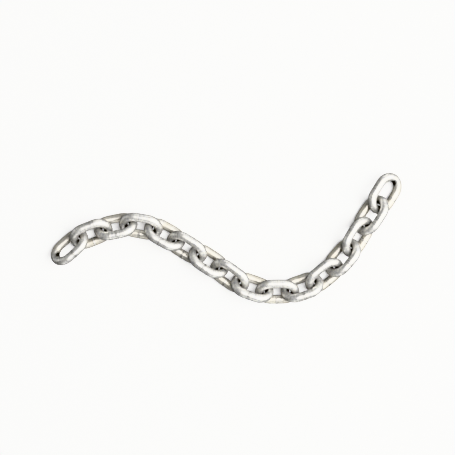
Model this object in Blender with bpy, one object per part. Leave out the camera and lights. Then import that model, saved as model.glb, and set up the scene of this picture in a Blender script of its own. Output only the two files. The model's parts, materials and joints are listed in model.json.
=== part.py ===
# Half a metre of 10 mm short-link steel chain, lying slack on a level floor in a flat S.
# Metres, +Z up, +X along the chain's longest reach. Every link is a loop of wire of its own,
# threaded through its neighbours, and none touches another.

import math

import bmesh
import bpy
from mathutils import Matrix, Vector

# The link, as such chain is listed: wire, inside length (the pitch) and inside width.
WIRE = 0.010
INSIDE_LENGTH = 0.030
INSIDE_WIDTH = 0.016

# The butt weld is a low swelling at the middle of one side bar.
WELD_RISE = 0.00015
WELD_HALF_LENGTH = 0.0035
WELD_CREST_HALF_LENGTH = 0.0015

# How the chain lies. A link leans on one side bar and its neighbours lean the other way.
SLACK = 0.00125
LEAN = math.radians(46)

# The last link has nothing beyond it to prop it, so it has dropped flatter, with its free end
# on the floor and its near end on the crown of its neighbour. It has slid back and to the left.
END_LEAN = math.radians(34)
END_DROP = math.radians(4)
END_SLIDE = Vector((0, 0.0005, 0))

# Direction of each link from the cut end to the free end, anticlockwise from +X.
HEADINGS_DEGREES = (42, 22, 12, -9, -29, -31, -33, -35, -19, 1, 19, 39, 50, 59, 57, 58)
LINK_COUNT = len(HEADINGS_DEGREES)
# The link that stays put when the chain is bent. Every other one is carried outward from it.
MIDDLE_LINK = 8

# Mesh fineness: sides of the wire's section, and steps round each end of a link.
WIRE_SIDES = 12
BEND_STEPS = 12

BEND_RADIUS = (INSIDE_WIDTH + WIRE) / 2
HALF_BAR = (INSIDE_LENGTH - INSIDE_WIDTH) / 2
LYING_PITCH = INSIDE_LENGTH - SLACK
LINK_HEIGHT = WIRE + 2 * BEND_RADIUS * math.sin(LEAN)

# The section's corners stand a little outside the wire, so that its area is the round wire's.
SIDE_ANGLE = 2 * math.pi / WIRE_SIDES
SECTION_RADIUS = WIRE / 2 * math.sqrt(SIDE_ANGLE / math.sin(SIDE_ANGLE))

GALVANISED_COLOUR = (0.80, 0.79, 0.76, 1.0)
GALVANISED_ROUGHNESS = 0.38
GALVANISED_METALLIC = 0.85


def clear_scene():
    for old in list(bpy.data.objects):
        bpy.data.objects.remove(old, do_unlink=True)


def galvanised_steel():
    material = bpy.data.materials.new("galvanised_steel")
    material.use_nodes = True
    shader = material.node_tree.nodes["Principled BSDF"]
    shader.inputs["Base Color"].default_value = GALVANISED_COLOUR
    shader.inputs["Roughness"].default_value = GALVANISED_ROUGHNESS
    shader.inputs["Metallic"].default_value = GALVANISED_METALLIC
    return material


def wire_stations():
    """Places along the wire of one link: point on its centre line, outward direction, radius."""
    stations = []
    for end in (1, -1):
        for step in range(BEND_STEPS + 1):
            angle = -math.pi / 2 + math.pi * step / BEND_STEPS
            outward = Vector((math.cos(angle), math.sin(angle), 0)) * end
            centre = Vector((end * HALF_BAR, 0, 0))
            stations.append((centre + outward * BEND_RADIUS, outward, SECTION_RADIUS))
    crest = SECTION_RADIUS + WELD_RISE
    right_hand = Vector((0, -1, 0))
    for offset, radius in (
        (-WELD_HALF_LENGTH, SECTION_RADIUS),
        (-WELD_CREST_HALF_LENGTH, crest),
        (WELD_CREST_HALF_LENGTH, crest),
        (WELD_HALF_LENGTH, SECTION_RADIUS),
    ):
        stations.append((Vector((offset, -BEND_RADIUS, 0)), right_hand, radius))
    return stations


def section_frame(point, outward, lean):
    """Frame of one section of the wire, turned so that a flat of it faces the floor at this lean."""
    normal = Vector((0, 0, 1))
    tangent = outward.cross(normal)
    axes = Matrix((outward, normal, tangent)).transposed().to_4x4()
    facing_down = -(math.pi / 2 - lean)
    first_flat = SIDE_ANGLE / 2
    return Matrix.Translation(point) @ axes @ Matrix.Rotation(facing_down - first_flat, 4, "Z")


def link_mesh(name, lean):
    """One link in its own frame: long axis on X, side bars at -Y and +Y, the weld on the -Y bar."""
    shape = bmesh.new()
    rings = []
    for point, outward, radius in wire_stations():
        frame = section_frame(point, outward, lean)
        made = bmesh.ops.create_circle(shape, segments=WIRE_SIDES, radius=radius, matrix=frame)
        rings.append({edge for vert in made["verts"] for edge in vert.link_edges})
    for ring, following in zip(rings, rings[1:] + rings[:1]):
        bmesh.ops.bridge_loops(shape, edges=list(ring | following))
    bmesh.ops.recalc_face_normals(shape, faces=shape.faces)
    bmesh.ops.triangulate(shape, faces=shape.faces)
    mesh = bpy.data.meshes.new(name)
    shape.to_mesh(mesh)
    shape.free()
    mesh.shade_smooth()
    return mesh


def along(heading):
    return Vector((math.cos(heading), math.sin(heading), 0))


def chain_plan(headings):
    """Link centres and couplings in plan: a coupling lies half a pitch from both of its links."""
    centres = [Vector((0, 0, 0))]
    couplings = []
    for heading, following in zip(headings, headings[1:]):
        coupling = centres[-1] + along(heading) * LYING_PITCH / 2
        couplings.append(coupling)
        centres.append(coupling + along(following) * LYING_PITCH / 2)
    return centres, couplings


def lay_links(centres, headings, material):
    """Every link leaned, turned to its heading and set down on the floor."""
    leaning = link_mesh("leaning_link", LEAN)
    dropped = link_mesh("dropped_link", END_LEAN)
    for mesh in (leaning, dropped):
        mesh.materials.append(material)
    links = []
    for number, (centre, heading) in enumerate(zip(centres, headings), start=1):
        side = 1 if number % 2 == 0 else -1
        turn = Matrix.Rotation(heading, 4, "Z")
        if number < LINK_COUNT:
            mesh = leaning
            tilt = turn @ Matrix.Rotation(side * LEAN, 4, "X")
        else:
            mesh = dropped
            tilt = turn @ Matrix.Rotation(END_DROP, 4, "Y") @ Matrix.Rotation(side * END_LEAN, 4, "X")
            centre = centre + turn @ END_SLIDE
        lowest = min((tilt @ vert.co).z for vert in mesh.vertices)
        link = bpy.data.objects.new(f"link_{number:02d}", mesh)
        link.matrix_basis = Matrix.Translation(centre - Vector((0, 0, lowest))) @ tilt
        bpy.context.scene.collection.objects.link(link)
        links.append(link)
    return links


def middle_of(links):
    """Middle of the chain's bounding box in plan, before any link has a parent."""
    corners = [link.matrix_basis @ vert.co for link in links for vert in link.data.vertices]
    middle_x = (min(c.x for c in corners) + max(c.x for c in corners)) / 2
    middle_y = (min(c.y for c in corners) + max(c.y for c in corners)) / 2
    return Vector((middle_x, middle_y, 0))


def carry(child, carrier):
    """Parents an object to another, keeping its numbers in world coordinates."""
    child.parent = carrier
    child.matrix_parent_inverse = Matrix.Translation(-carrier.location)


def couple(links, couplings):
    """An empty on the upright axis of each coupling carries the next link out from the middle one."""
    outward_right = [(number, number + 1) for number in range(MIDDLE_LINK, LINK_COUNT)]
    outward_left = [(number, number - 1) for number in range(MIDDLE_LINK, 1, -1)]
    pivots = {}
    for inner, outer in outward_right + outward_left:
        first, second = sorted((inner, outer))
        pivot = bpy.data.objects.new(f"coupling_{first:02d}_{second:02d}", None)
        pivot.location = couplings[first - 1]
        pivot.empty_display_type = "SINGLE_ARROW"
        pivot.empty_display_size = LINK_HEIGHT
        bpy.context.scene.collection.objects.link(pivot)
        if inner in pivots:
            carry(pivot, pivots[inner])
        carry(links[outer - 1], pivot)
        pivots[outer] = pivot


def build_chain():
    headings = [math.radians(angle) for angle in HEADINGS_DEGREES]
    centres, couplings = chain_plan(headings)
    links = lay_links(centres, headings, galvanised_steel())
    middle = middle_of(links)
    for link in links:
        link.location -= middle
    couple(links, [coupling - middle for coupling in couplings])


clear_scene()
build_chain()
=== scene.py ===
import json
import math
import random

import bpy
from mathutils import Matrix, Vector


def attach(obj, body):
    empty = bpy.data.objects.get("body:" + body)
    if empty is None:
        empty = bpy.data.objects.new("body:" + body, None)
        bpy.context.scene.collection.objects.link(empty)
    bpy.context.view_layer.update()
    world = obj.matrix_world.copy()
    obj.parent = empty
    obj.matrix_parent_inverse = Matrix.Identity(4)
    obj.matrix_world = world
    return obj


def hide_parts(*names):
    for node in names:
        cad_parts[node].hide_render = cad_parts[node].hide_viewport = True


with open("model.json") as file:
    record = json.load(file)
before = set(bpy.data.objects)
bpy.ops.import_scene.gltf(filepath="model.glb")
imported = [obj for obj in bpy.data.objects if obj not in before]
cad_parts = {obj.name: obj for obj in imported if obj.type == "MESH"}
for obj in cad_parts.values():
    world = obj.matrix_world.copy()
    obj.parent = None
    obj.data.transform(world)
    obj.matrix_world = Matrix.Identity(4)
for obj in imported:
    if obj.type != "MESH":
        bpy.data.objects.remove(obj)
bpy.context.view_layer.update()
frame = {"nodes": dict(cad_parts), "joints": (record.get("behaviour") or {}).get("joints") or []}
print("frame loaded:", len(frame["nodes"]), "links")

mm = 0.001


def addNode(tree, kind, wires=None, **settings):
    node = tree.nodes.new(kind)
    for name, value in settings.items():
        setattr(node, name, value)
    for key, source in (wires or {}).items():
        if isinstance(source, bpy.types.NodeSocket):
            tree.links.new(source, node.inputs[key])
        else:
            node.inputs[key].default_value = source
    return node


def linearColour(hexCode):
    # the curve and its numbers are those of the sRGB standard
    parts = [int(hexCode[i : i + 2], 16) / 255 for i in (1, 3, 5)]
    linear = [p / 12.92 if p <= 0.04045 else ((p + 0.055) / 1.055) ** 2.4 for p in parts]
    return (*linear, 1.0)


# Camera: straight down, from high enough that near and far bars look alike in width.

cameraSetup = {
    "aim": (1.24 * mm, 11.27 * mm),  # what lies at the middle of the picture
    "turn": 0.44,  # degrees, anticlockwise from above
    "height": 1.6,
    "pictureWidth": 509.7 * mm,  # at the height of the links' middles
    "linkMiddle": 14.4 * mm,
    "sensor": 36.0,
    "sightLimit": 20,  # metres
}


def addCamera(setup):
    data = bpy.data.cameras.new("overheadCamera")
    data.sensor_width = setup["sensor"]
    data.lens = setup["sensor"] * (setup["height"] - setup["linkMiddle"]) / setup["pictureWidth"]
    data.clip_end = setup["sightLimit"]
    camera = bpy.data.objects.new("overheadCamera", data)
    camera.location = (*setup["aim"], setup["height"])
    camera.rotation_euler.z = math.radians(setup["turn"])
    bpy.context.scene.collection.objects.link(camera)
    bpy.context.scene.camera = camera


addCamera(cameraSetup)
print("camera in place")


# Hot-dip galvanised low-carbon steel: wire bent and butt-welded cold, then dipped in molten zinc.
# The skin is a bright, slightly milky grey, satin where the zinc ran smooth and matt where it
# set rough. Fine marks run across the wire, and the weld keeps flecks of scale and a bright
# trimmed line. Painted shade, near black, darkens the seats where the next link meets, with
# grease where they rub; painted shade tinted like grime darkens the flanks and undersides;
# and each link is warmer and a little darker low down.

zincFinish = {
    "bright": "#E2E0D8",
    "milky": "#B6B6B8",
    "cream": "#D8D1BF",  # warmer, slightly darker tone towards the bottom of each link
    "stain": "#8C7E64",  # specks of rust bloom in that low tone
    "shadeAndGrime": "#62584B",  # painted shade on the flanks and undersides, tinted brown like grime
    "seatShadeAndGrease": "#1F1B17",  # near-black painted shade between links where they meet, with grease and zinc dust where they rub
    "mark": "#87847F",  # marks across the wire from the bending tool and the tumbling barrel
    "scale": "#3F3B37",  # burnt flecks beside the weld
    "trimmed": "#F0EFEB",  # bright line of the trimmed weld
    "metallic": 0.8,
    "roughness": (0.4, 0.52),
    "spangleSize": 2.4 * mm,  # one zinc grain
    "mottleSize": 9.0 * mm,
    "markSpacing": 1.5 * mm,  # drawn about three times as coarse as it is, so that it shows
    "gritSize": 0.7 * mm,  # drawn about twice as coarse as it is, so that it shows
    # where each layer starts and is full, and the least or most of it
    "milkyArea": {"From Min": 0.38, "From Max": 0.66},
    "markArea": {"From Min": 0.48, "From Max": 0.66, "To Max": 0.5},
    "markPatch": {"From Min": 0.38, "From Max": 0.56},
    "creamHeight": {"From Min": 18 * mm, "From Max": 4 * mm},
    "creamPatch": {"From Min": 0.3, "From Max": 0.7, "To Min": 0.25},
    "stainSpecks": {"From Min": 0.54, "From Max": 0.66, "To Max": 0.8},
    "shadeAndGrimeFacing": {"From Min": 0.72, "From Max": -0.3},  # 1 faces straight up, 0 to the side
    "shadeAndGrimePatch": {"From Min": 0.3, "From Max": 0.7, "To Min": 0.75},
    "seatArea": {"From Min": 0.25, "From Max": 0.8},
    "seatGrit": 0.35,  # how ragged the grit makes a seat's edge
    "scaleFlecks": {"From Min": 0.4, "From Max": 0.6, "To Max": 0.9},
    "trimmedLine": {"From Min": 0.9, "From Max": 1.0, "To Max": 0.6},
    "trimmedPatch": {"From Min": 0.42, "From Max": 0.6},
    "mattArea": {"From Min": 0.3, "From Max": 0.7},
    "bump": {"Strength": 0.12, "Distance": 0.1 * mm},
}


def makeZinc(finish):
    material = bpy.data.materials.new("hotDipGalvanisedSteel")
    material.use_nodes = True
    tree = material.node_tree
    tree.nodes.clear()
    grainSpot, wireSpot = (
        addNode(tree, "ShaderNodeAttribute", attribute_name=name).outputs["Vector"]
        for name in ("grainSpot", "wireSpot")
    )
    seatShadeAndGrease, weld, facing = (
        addNode(tree, "ShaderNodeAttribute", attribute_name=name).outputs["Fac"]
        for name in ("crownSeat", "weldBand", "facingUp")
    )
    # height, for the cream tone that makes each link warmer and a little darker low down
    place = addNode(tree, "ShaderNodeTexCoord").outputs["Object"]
    height = addNode(tree, "ShaderNodeSeparateXYZ", {"Vector": place}).outputs["Z"]
    spangle = addNode(
        tree,
        "ShaderNodeTexNoise",
        {"Vector": grainSpot, "Scale": 1 / finish["spangleSize"], "Detail": 3.0, "Roughness": 0.6},
    ).outputs["Fac"]
    mottle = addNode(
        tree,
        "ShaderNodeTexNoise",
        {"Vector": grainSpot, "Scale": 1 / finish["mottleSize"], "Detail": 2.0},
    ).outputs["Fac"]
    grit = addNode(
        tree,
        "ShaderNodeTexNoise",
        {"Vector": grainSpot, "Scale": 1 / finish["gritSize"], "Detail": 4.0, "Roughness": 0.65},
    ).outputs["Fac"]
    # this pattern follows the wire's middle line, so each mark runs across the wire
    marks = addNode(
        tree,
        "ShaderNodeTexNoise",
        {"Vector": wireSpot, "Scale": 1 / finish["markSpacing"], "Detail": 2.0, "Roughness": 0.6},
    ).outputs["Fac"]
    seatEdge = addNode(
        tree, "ShaderNodeMath", {0: grit, 1: finish["seatGrit"], 2: seatShadeAndGrease}, operation="MULTIPLY_ADD"
    ).outputs["Value"]

    # how strongly each cause of a layer is there, from 0 to 1
    strength = {}
    for cause, measure, curve in (
        ("milkyArea", spangle, "LINEAR"),
        ("markArea", marks, "LINEAR"),
        ("markPatch", mottle, "LINEAR"),
        ("creamHeight", height, "SMOOTHSTEP"),
        ("creamPatch", mottle, "LINEAR"),
        ("stainSpecks", grit, "LINEAR"),
        ("shadeAndGrimeFacing", facing, "SMOOTHSTEP"),
        ("shadeAndGrimePatch", mottle, "LINEAR"),
        ("seatArea", seatEdge, "LINEAR"),
        ("scaleFlecks", grit, "LINEAR"),
        ("trimmedLine", weld, "LINEAR"),
        ("trimmedPatch", mottle, "LINEAR"),
    ):
        strength[cause] = addNode(
            tree,
            "ShaderNodeMapRange",
            {"Value": measure, **finish[cause]},
            interpolation_type=curve,
        ).outputs["Result"]

    # most layers need two causes at once
    strength["weld"] = weld
    cover = {"milky": strength["milkyArea"], "seatShadeAndGrease": strength["seatArea"]}
    for layer, first, second in (
        ("mark", "markArea", "markPatch"),
        ("cream", "creamHeight", "creamPatch"),
        ("shadeAndGrime", "shadeAndGrimeFacing", "shadeAndGrimePatch"),
        ("scale", "weld", "scaleFlecks"),
        ("trimmed", "trimmedLine", "trimmedPatch"),
    ):
        cover[layer] = addNode(
            tree, "ShaderNodeMath", {0: strength[first], 1: strength[second]}, operation="MULTIPLY"
        ).outputs["Value"]
    cover["stain"] = addNode(
        tree, "ShaderNodeMath", {0: cover["cream"], 1: strength["stainSpecks"]}, operation="MULTIPLY"
    ).outputs["Value"]

    # layers over the bright zinc, two of them painted shade: near black in the seats between links, and
    # brownish on the flanks and undersides
    colour = linearColour(finish["bright"])
    for layer in ("milky", "mark", "cream", "stain", "shadeAndGrime", "seatShadeAndGrease", "scale", "trimmed"):
        colour = addNode(
            tree,
            "ShaderNodeMix",
            {"Factor": cover[layer], 6: colour, 7: linearColour(finish[layer])},
            data_type="RGBA",
        ).outputs[2]

    smooth, matt = finish["roughness"]
    roughness = addNode(
        tree,
        "ShaderNodeMapRange",
        {"Value": spangle, "To Min": smooth, "To Max": matt, **finish["mattArea"]},
    ).outputs["Result"]
    grainRelief = addNode(
        tree, "ShaderNodeMath", {0: grit, 1: spangle}, operation="ADD"
    ).outputs["Value"]
    relief = addNode(
        tree, "ShaderNodeMath", {0: grainRelief, 1: cover["mark"]}, operation="SUBTRACT"
    ).outputs["Value"]
    bump = addNode(tree, "ShaderNodeBump", {"Height": relief, **finish["bump"]}).outputs["Normal"]
    shader = addNode(
        tree,
        "ShaderNodeBsdfPrincipled",
        {"Base Color": colour, "Roughness": roughness, "Normal": bump, "Metallic": finish["metallic"]},
    )
    addNode(tree, "ShaderNodeOutputMaterial", {"Surface": shader.outputs["BSDF"]})
    return material


zinc = makeZinc(zincFinish)
print("zinc mixed")


# The link: round wire bent to a racetrack loop, with a butt weld in the middle of one side bar.

linkSizes = {
    "Wire Diameter": 9.88 * mm,  # 10 mm wire, as wide as the flats of the model's section
    "Inside Length": 30.12 * mm,
    "Inside Width": 16.12 * mm,
    "Bow": 0.03,  # how much the ends draw in against the middle of the bars
    "Weld Rise": 0.13 * mm,
    "Weld Half Length": 2.2 * mm,
    "Seat Wear": 0.05 * mm,
    "Zinc Relief": 0.05 * mm,
    "Zinc Lump Size": 5.0 * mm,
}
linkDetail = {
    "alongWire": 240,  # points along the wire's middle line
    "roundWire": 32,
    "bendPoints": 24,  # in each quarter turn of the wire
    "weldCrest": 0.35,  # flat top of the weld's ring, of its half length
    "rubDepth": 0.75,  # how far wear reaches out from the inner side, of the wire's radius
    "shadeAndGreaseEdge": 1.5,  # how far the painted seat shade and grease reach from the crown, of the wire's radius
    "shadeAndGreaseCore": 0.4,
    "markDrift": 0.12,  # part of the way from the middle line to the surface
    "seedStep": (0.11, 0.07, 0.13),  # how far the zinc's pattern moves from link to link
    "lumps": {"Detail": 3.0, "Roughness": 0.5},
}

# The lay: links lean on one side bar, turn about, and run between the couplings of the frame.
chainLay = {
    "pitch": 28.75 * mm,
    "lean": 46.0,  # degrees
    "firstHeading": 42.0,
    "lastHeading": 58.0,
    "lastLean": 34.0,
    "lastDrop": 4.0,
    "lastSlide": 0.5 * mm,  # to the left of its heading
    "weldShift": 0.8 * mm,  # the most by which a weld is off the middle of its bar
    "seed": 7,
}


def couplingPoints(lay):
    joints = {joint["name"]: Vector(joint["pos_m"]) for joint in frame["joints"]}
    points = [joints[name] for name in sorted(joints)]
    first, last = math.radians(lay["firstHeading"]), math.radians(lay["lastHeading"])
    before = points[0] - Vector((math.cos(first), math.sin(first), 0)) * lay["pitch"]
    after = points[-1] + Vector((math.cos(last), math.sin(last), 0)) * lay["pitch"]
    return [before, *points, after]


def linkTree(detail):
    tree = bpy.data.node_groups.new("bentWireLink", "GeometryNodeTree")
    tree.is_modifier = True
    face = tree.interface
    face.new_socket("Guide", in_out="INPUT", socket_type="NodeSocketGeometry")
    face.new_socket("Link Number", in_out="INPUT", socket_type="NodeSocketInt")
    for name in linkSizes:
        face.new_socket(name, in_out="INPUT", socket_type="NodeSocketFloat")
    for name in ("Lean", "Nose Drop", "Side Slide", "Weld Offset", "Seed"):
        face.new_socket(name, in_out="INPUT", socket_type="NodeSocketFloat")
    face.new_socket("Finish", in_out="INPUT", socket_type="NodeSocketMaterial")
    face.new_socket("Chain Link", in_out="OUTPUT", socket_type="NodeSocketGeometry")
    given = addNode(tree, "NodeGroupInput").outputs

    # centre line
    loopLength, loopWidth = (
        addNode(
            tree, "ShaderNodeMath", {0: given[inside], 1: given["Wire Diameter"]}, operation="ADD"
        ).outputs["Value"]
        for inside in ("Inside Length", "Inside Width")
    )
    wireRadius, endRadius, reach = (
        addNode(tree, "ShaderNodeMath", {0: whole, 1: 0.5}, operation="MULTIPLY").outputs["Value"]
        for whole in (given["Wire Diameter"], loopWidth, loopLength)
    )
    halfBar = addNode(
        tree, "ShaderNodeMath", {0: reach, 1: endRadius}, operation="SUBTRACT"
    ).outputs["Value"]
    box = addNode(
        tree,
        "GeometryNodeCurvePrimitiveQuadrilateral",
        {"Width": loopLength, "Height": loopWidth},
        mode="RECTANGLE",
    )
    loop = addNode(
        tree,
        "GeometryNodeFilletCurve",
        {
            "Curve": box.outputs["Curve"],
            "Count": detail["bendPoints"],
            "Radius": endRadius,
            "Limit Radius": True,
        },
        mode="POLY",
    )
    even = addNode(
        tree,
        "GeometryNodeResampleCurve",
        {"Curve": loop.outputs["Curve"], "Count": detail["alongWire"]},
        mode="COUNT",
    )
    here = addNode(
        tree,
        "ShaderNodeSeparateXYZ",
        {"Vector": addNode(tree, "GeometryNodeInputPosition").outputs["Position"]},
    ).outputs
    outness = addNode(
        tree, "ShaderNodeMath", {0: here["X"], 1: reach}, operation="DIVIDE"
    ).outputs["Value"]
    outnessSquared = addNode(
        tree, "ShaderNodeMath", {0: outness, 1: outness}, operation="MULTIPLY"
    ).outputs["Value"]
    drawIn = addNode(
        tree, "ShaderNodeMath", {0: outnessSquared, 1: given["Bow"]}, operation="MULTIPLY"
    ).outputs["Value"]
    narrowing = addNode(
        tree, "ShaderNodeMath", {0: 1.0, 1: drawIn}, operation="SUBTRACT"
    ).outputs["Value"]
    drawnWidth = addNode(
        tree, "ShaderNodeMath", {0: here["Y"], 1: narrowing}, operation="MULTIPLY"
    ).outputs["Value"]
    drawnIn = addNode(
        tree, "ShaderNodeCombineXYZ", {"X": here["X"], "Y": drawnWidth, "Z": here["Z"]}
    )
    bowed = addNode(
        tree,
        "GeometryNodeSetPosition",
        {"Geometry": even.outputs["Curve"], "Position": drawnIn.outputs["Vector"]},
    )

    # weld: a low ring on the bar at -Y
    pastWeld = addNode(
        tree, "ShaderNodeMath", {0: here["X"], 1: given["Weld Offset"]}, operation="SUBTRACT"
    ).outputs["Value"]
    fromWeld = addNode(tree, "ShaderNodeMath", {0: pastWeld}, operation="ABSOLUTE").outputs["Value"]
    onWeldBar = addNode(
        tree, "ShaderNodeMath", {0: here["Y"], 1: 0.0}, operation="LESS_THAN"
    ).outputs["Value"]
    crestHalfLength = addNode(
        tree,
        "ShaderNodeMath",
        {0: given["Weld Half Length"], 1: detail["weldCrest"]},
        operation="MULTIPLY",
    ).outputs["Value"]
    ring = addNode(
        tree,
        "ShaderNodeMapRange",
        {"Value": fromWeld, "From Min": given["Weld Half Length"], "From Max": crestHalfLength},
        interpolation_type="SMOOTHSTEP",
    ).outputs["Result"]
    weldRing = addNode(
        tree, "ShaderNodeMath", {0: ring, 1: onWeldBar}, operation="MULTIPLY"
    ).outputs["Value"]
    thickness = addNode(
        tree,
        "ShaderNodeMath",
        {0: weldRing, 1: given["Weld Rise"], 2: wireRadius},
        operation="MULTIPLY_ADD",
    ).outputs["Value"]
    keptRing = addNode(
        tree,
        "GeometryNodeStoreNamedAttribute",
        {"Geometry": bowed.outputs["Geometry"], "Name": "weldBand", "Value": weldRing},
        data_type="FLOAT",
        domain="POINT",
    )
    centreLine = addNode(tree, "GeometryNodeInputPosition").outputs["Position"]
    keptLine = addNode(
        tree,
        "GeometryNodeStoreNamedAttribute",
        {"Geometry": keptRing.outputs["Geometry"], "Name": "centreSpot", "Value": centreLine},
        data_type="FLOAT_VECTOR",
        domain="POINT",
    )
    section = addNode(
        tree,
        "GeometryNodeCurvePrimitiveCircle",
        {"Resolution": detail["roundWire"], "Radius": 1.0},
        mode="RADIUS",
    )
    wire = addNode(
        tree,
        "GeometryNodeCurveToMesh",
        {
            "Curve": keptLine.outputs["Geometry"],
            "Profile Curve": section.outputs["Curve"],
            "Scale": thickness,
        },
    )

    # coordinates of the link's own for its finish
    ownPlace = addNode(tree, "GeometryNodeInputPosition").outputs["Position"]
    shiftBySeed = addNode(
        tree, "ShaderNodeVectorMath", {0: detail["seedStep"], "Scale": given["Seed"]}, operation="SCALE"
    )
    grainPlace = addNode(
        tree, "ShaderNodeVectorMath", {0: ownPlace, 1: shiftBySeed.outputs["Vector"]}, operation="ADD"
    ).outputs["Vector"]
    grained = addNode(
        tree,
        "GeometryNodeStoreNamedAttribute",
        {"Geometry": wire.outputs["Mesh"], "Name": "grainSpot", "Value": grainPlace},
        data_type="FLOAT_VECTOR",
        domain="POINT",
    )

    # the wire's middle line, drawn a little towards the surface so that marks aren't whole rings
    middleSpot = addNode(
        tree, "GeometryNodeInputNamedAttribute", {"Name": "centreSpot"}, data_type="FLOAT_VECTOR"
    ).outputs["Attribute"]
    wireSpot = addNode(
        tree,
        "ShaderNodeMix",
        {"Factor": detail["markDrift"], 4: middleSpot, 5: ownPlace},
        data_type="VECTOR",
    ).outputs[1]
    wireSpotShifted = addNode(
        tree, "ShaderNodeVectorMath", {0: wireSpot, 1: shiftBySeed.outputs["Vector"]}, operation="ADD"
    ).outputs["Vector"]
    lined = addNode(
        tree,
        "GeometryNodeStoreNamedAttribute",
        {"Geometry": grained.outputs["Geometry"], "Name": "wireSpot", "Value": wireSpotShifted},
        data_type="FLOAT_VECTOR",
        domain="POINT",
    )

    # seats: the inner side of both ends, rubbed by the neighbours
    own = addNode(tree, "ShaderNodeSeparateXYZ", {"Vector": ownPlace}).outputs
    ownReach = addNode(tree, "ShaderNodeMath", {0: own["X"]}, operation="ABSOLUTE").outputs["Value"]
    pastBar = addNode(
        tree, "ShaderNodeMath", {0: ownReach, 1: halfBar}, operation="SUBTRACT"
    ).outputs["Value"]
    intoEnd = addNode(
        tree, "ShaderNodeMath", {0: pastBar, 1: 0.0}, operation="MAXIMUM"
    ).outputs["Value"]
    endSpot = addNode(tree, "ShaderNodeCombineXYZ", {"X": intoEnd, "Y": own["Y"]})
    fromEndMiddle = addNode(
        tree, "ShaderNodeVectorMath", {0: endSpot.outputs["Vector"]}, operation="LENGTH"
    ).outputs["Value"]
    innerRadius = addNode(
        tree, "ShaderNodeMath", {0: endRadius, 1: wireRadius}, operation="SUBTRACT"
    ).outputs["Value"]
    rubLimit = addNode(
        tree,
        "ShaderNodeMath",
        {0: wireRadius, 1: detail["rubDepth"], 2: innerRadius},
        operation="MULTIPLY_ADD",
    ).outputs["Value"]
    innerSide = addNode(
        tree,
        "ShaderNodeMapRange",
        {"Value": fromEndMiddle, "From Min": rubLimit, "From Max": innerRadius},
        interpolation_type="SMOOTHSTEP",
    ).outputs["Result"]
    wellRound = addNode(
        tree,
        "ShaderNodeMapRange",
        {"Value": pastBar, "From Min": 0.0, "From Max": innerRadius},
        interpolation_type="SMOOTHSTEP",
    ).outputs["Result"]
    rubbed = addNode(
        tree, "ShaderNodeMath", {0: innerSide, 1: wellRound}, operation="MULTIPLY"
    ).outputs["Value"]
    # around each crown, where the next link meets: a mask for near-black painted shade between the
    # links, with grease where they rub
    crown = addNode(
        tree, "ShaderNodeMath", {0: reach, 1: wireRadius}, operation="SUBTRACT"
    ).outputs["Value"]
    pastCrown = addNode(
        tree, "ShaderNodeMath", {0: ownReach, 1: crown}, operation="SUBTRACT"
    ).outputs["Value"]
    fromContact = addNode(
        tree, "ShaderNodeCombineXYZ", {"X": pastCrown, "Y": own["Y"], "Z": own["Z"]}
    )
    contactDistance = addNode(
        tree, "ShaderNodeVectorMath", {0: fromContact.outputs["Vector"]}, operation="LENGTH"
    ).outputs["Value"]
    shadeAndGreaseEdge, shadeAndGreaseCore = (
        addNode(
            tree, "ShaderNodeMath", {0: wireRadius, 1: detail[share]}, operation="MULTIPLY"
        ).outputs["Value"]
        for share in ("shadeAndGreaseEdge", "shadeAndGreaseCore")
    )
    shadedAndGreased = addNode(
        tree,
        "ShaderNodeMapRange",
        {"Value": contactDistance, "From Min": shadeAndGreaseEdge, "From Max": shadeAndGreaseCore},
        interpolation_type="SMOOTHSTEP",
    ).outputs["Result"]
    seated = addNode(
        tree,
        "GeometryNodeStoreNamedAttribute",
        {"Geometry": lined.outputs["Geometry"], "Name": "crownSeat", "Value": shadedAndGreased},
        data_type="FLOAT",
        domain="POINT",
    )

    # wear and uneven zinc both take the surface inwards
    lumpsPerMetre = addNode(
        tree, "ShaderNodeMath", {0: 1.0, 1: given["Zinc Lump Size"]}, operation="DIVIDE"
    ).outputs["Value"]
    lumps = addNode(
        tree,
        "ShaderNodeTexNoise",
        {"Vector": grainPlace, "Scale": lumpsPerMetre, **detail["lumps"]},
    ).outputs["Fac"]
    thin = addNode(
        tree, "ShaderNodeMath", {0: given["Zinc Relief"], 1: lumps}, operation="MULTIPLY"
    ).outputs["Value"]
    sunk = addNode(
        tree,
        "ShaderNodeMath",
        {0: rubbed, 1: given["Seat Wear"], 2: thin},
        operation="MULTIPLY_ADD",
    ).outputs["Value"]
    raised = addNode(
        tree, "ShaderNodeMath", {0: sunk, 1: -1.0}, operation="MULTIPLY"
    ).outputs["Value"]
    wireNormal = addNode(tree, "GeometryNodeInputNormal").outputs["Normal"]
    inward = addNode(
        tree, "ShaderNodeVectorMath", {0: wireNormal, "Scale": raised}, operation="SCALE"
    )
    worn = addNode(
        tree,
        "GeometryNodeSetPosition",
        {"Geometry": seated.outputs["Geometry"], "Offset": inward.outputs["Vector"]},
    )

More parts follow.
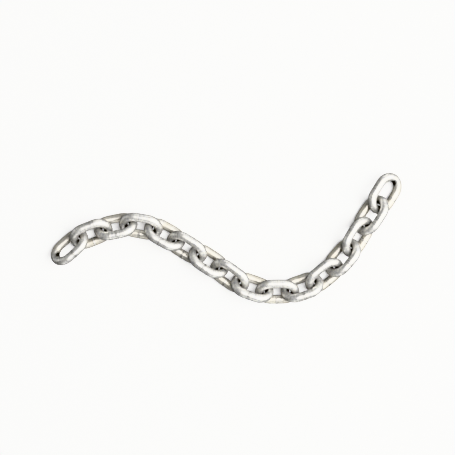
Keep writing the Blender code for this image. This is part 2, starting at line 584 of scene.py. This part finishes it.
    # lay: between two points of the guide, leaned, turned and set down
    guidePlace = addNode(tree, "GeometryNodeInputPosition").outputs["Position"]
    ends = []
    for back in (1, 0):
        number = addNode(
            tree, "ShaderNodeMath", {0: given["Link Number"], 1: float(back)}, operation="SUBTRACT"
        ).outputs["Value"]
        sample = addNode(
            tree,
            "GeometryNodeSampleIndex",
            {"Geometry": given["Guide"], "Value": guidePlace, "Index": number},
            data_type="FLOAT_VECTOR",
            domain="POINT",
        )
        ends.append(sample.outputs["Value"])
    step = addNode(tree, "ShaderNodeVectorMath", {0: ends[1], 1: ends[0]}, operation="SUBTRACT")
    run = addNode(tree, "ShaderNodeSeparateXYZ", {"Vector": step.outputs["Vector"]}).outputs
    heading = addNode(
        tree, "ShaderNodeMath", {0: run["Y"], 1: run["X"]}, operation="ARCTAN2"
    ).outputs["Value"]
    total = addNode(tree, "ShaderNodeVectorMath", {0: ends[0], 1: ends[1]}, operation="ADD")
    middle = addNode(
        tree, "ShaderNodeVectorMath", {0: total.outputs["Vector"], "Scale": 0.5}, operation="SCALE"
    )
    slide = addNode(tree, "ShaderNodeCombineXYZ", {"Y": given["Side Slide"]})
    sideways = addNode(
        tree,
        "ShaderNodeVectorRotate",
        {"Vector": slide.outputs["Vector"], "Angle": heading},
        rotation_type="Z_AXIS",
    )
    centre = addNode(
        tree,
        "ShaderNodeVectorMath",
        {0: middle.outputs["Vector"], 1: sideways.outputs["Vector"]},
        operation="ADD",
    )
    turn = addNode(
        tree, "ShaderNodeCombineXYZ", {"X": given["Lean"], "Y": given["Nose Drop"], "Z": heading}
    )
    laid = addNode(
        tree,
        "GeometryNodeTransform",
        {
            "Geometry": worn.outputs["Geometry"],
            "Translation": centre.outputs["Vector"],
            "Rotation": turn.outputs["Vector"],
        },
    )
    laidHeight = addNode(
        tree,
        "ShaderNodeSeparateXYZ",
        {"Vector": addNode(tree, "GeometryNodeInputPosition").outputs["Position"]},
    ).outputs["Z"]
    lowest = addNode(
        tree,
        "GeometryNodeAttributeStatistic",
        {"Geometry": laid.outputs["Geometry"], "Attribute": laidHeight},
        data_type="FLOAT",
        domain="POINT",
    ).outputs["Min"]
    drop = addNode(
        tree, "ShaderNodeMath", {0: lowest, 1: -1.0}, operation="MULTIPLY"
    ).outputs["Value"]
    down = addNode(tree, "ShaderNodeCombineXYZ", {"Z": drop})
    resting = addNode(
        tree,
        "GeometryNodeTransform",
        {"Geometry": laid.outputs["Geometry"], "Translation": down.outputs["Vector"]},
    )
    # which way each point faces, for the finish's brownish painted shade on flanks and undersides
    laidNormal = addNode(tree, "GeometryNodeInputNormal").outputs["Normal"]
    faced = addNode(
        tree,
        "GeometryNodeStoreNamedAttribute",
        {
            "Geometry": resting.outputs["Geometry"],
            "Name": "facingUp",
            "Value": addNode(tree, "ShaderNodeSeparateXYZ", {"Vector": laidNormal}).outputs["Z"],
        },
        data_type="FLOAT",
        domain="POINT",
    )
    smooth = addNode(tree, "GeometryNodeSetShadeSmooth", {"Geometry": faced.outputs["Geometry"]})
    real = addNode(tree, "GeometryNodeRealizeInstances", {"Geometry": smooth.outputs["Geometry"]})
    dressed = addNode(
        tree,
        "GeometryNodeSetMaterial",
        {"Geometry": real.outputs["Geometry"], "Material": given["Finish"]},
    )
    addNode(tree, "NodeGroupOutput", {0: dressed.outputs["Geometry"]})
    return tree


def makeLink(number, count, tree, guide, lay, dice):
    name = f"link_{number:02d}"
    side = 1 if number % 2 == 0 else -1
    last = number == count
    values = dict(linkSizes)
    values["Link Number"] = number
    values["Lean"] = side * math.radians(lay["lastLean"] if last else lay["lean"])
    values["Nose Drop"] = math.radians(lay["lastDrop"]) if last else 0.0
    values["Side Slide"] = lay["lastSlide"] if last else 0.0
    values["Weld Offset"] = dice.uniform(-lay["weldShift"], lay["weldShift"])
    values["Seed"] = float(number)
    values["Finish"] = zinc
    maker = bpy.data.objects.new(name + "_maker", guide)
    bpy.context.scene.collection.objects.link(maker)
    modifier = maker.modifiers.new("bentWire", "NODES")
    modifier.node_group = tree
    for item in tree.interface.items_tree:
        if item.in_out == "INPUT" and item.name in values:
            modifier[item.identifier] = values[item.name]
    evaluated = maker.evaluated_get(bpy.context.evaluated_depsgraph_get())
    mesh = bpy.data.meshes.new_from_object(evaluated)
    mesh.name = name + "_wire"
    maker.modifiers.clear()
    bpy.data.objects.remove(maker)
    link = bpy.data.objects.new(name + "_wire", mesh)
    bpy.context.scene.collection.objects.link(link)
    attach(link, name)
    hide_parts(name)
    return link


def makeChain(lay):
    points = couplingPoints(lay)
    guide = bpy.data.meshes.new("chainGuide")
    guide.from_pydata(points, [(i, i + 1) for i in range(len(points) - 1)], [])
    tree = linkTree(linkDetail)
    dice = random.Random(lay["seed"])
    count = len(points) - 1
    links = [makeLink(number, count, tree, guide, lay, dice) for number in range(1, count + 1)]
    bpy.data.meshes.remove(guide)
    return links


links = makeChain(chainLay)
print("links bent:", len(links), "of", sum(len(link.data.polygons) for link in links), "faces")


# Floor: smooth matt white board with a faint glow that lifts the shade in the eyes of the links.
# It is left out of reflections, so that the links' rims stay dark from above, as in the picture.

floorFinish = {"colour": "#FAFAF8", "roughness": 0.9, "glow": 0.4, "size": 3.4}


def addFloor(finish):
    half = finish["size"] / 2
    corners = [(-half, -half, 0), (half, -half, 0), (half, half, 0), (-half, half, 0)]
    mesh = bpy.data.meshes.new("whiteBoard")
    mesh.from_pydata(corners, [], [(0, 1, 2, 3)])
    board = bpy.data.objects.new("whiteBoard", mesh)
    bpy.context.scene.collection.objects.link(board)
    material = bpy.data.materials.new("mattWhiteLaminate")
    material.use_nodes = True
    shader = material.node_tree.nodes["Principled BSDF"]
    shader.inputs["Base Color"].default_value = linearColour(finish["colour"])
    shader.inputs["Roughness"].default_value = finish["roughness"]
    shader.inputs["Emission Color"].default_value = (1, 1, 1, 1)
    shader.inputs["Emission Strength"].default_value = finish["glow"]
    mesh.materials.append(material)
    board.visible_glossy = False


addFloor(floorFinish)
print("floor laid")


# Light: one big soft panel at the right, one above and a little to the right, three faint ones
# low down for the other sides, and a pale backdrop that only the camera sees.

lightSetup = {
    "backdrop": 2.0,
    "panels": [
        {"name": "rightPanel", "at": (1.9, 0.0, 1.9), "size": 2.4, "watts": 175.0},
        {"name": "topPanel", "at": (0.8, 0.0, 2.5), "size": 1.6, "watts": 70.0},
        {"name": "leftPanel", "at": (-2.4, 0.6, 0.4), "size": 1.6, "watts": 12.0},
        {"name": "frontPanel", "at": (-0.2, -2.5, 0.4), "size": 1.6, "watts": 22.0},
        {"name": "backPanel", "at": (0.4, 2.5, 0.4), "size": 1.6, "watts": 22.0},
    ],
}


def addLights(setup):
    world = bpy.data.worlds.new("paleBackdrop")
    world.use_nodes = True
    background = world.node_tree.nodes["Background"]
    background.inputs["Color"].default_value = (1, 1, 1, 1)
    background.inputs["Strength"].default_value = setup["backdrop"]
    bpy.context.scene.world = world
    world.cycles_visibility.diffuse = False
    world.cycles_visibility.glossy = False
    for panel in setup["panels"]:
        data = bpy.data.lights.new(panel["name"], "AREA")
        data.size = panel["size"]
        data.energy = panel["watts"]
        lamp = bpy.data.objects.new(panel["name"], data)
        lamp.location = panel["at"]
        lamp.rotation_euler = (-Vector(panel["at"])).to_track_quat("-Z", "Y").to_euler()
        bpy.context.scene.collection.objects.link(lamp)


addLights(lightSetup)
bpy.context.scene.view_settings.view_transform = "Khronos PBR Neutral"
print("lights on")
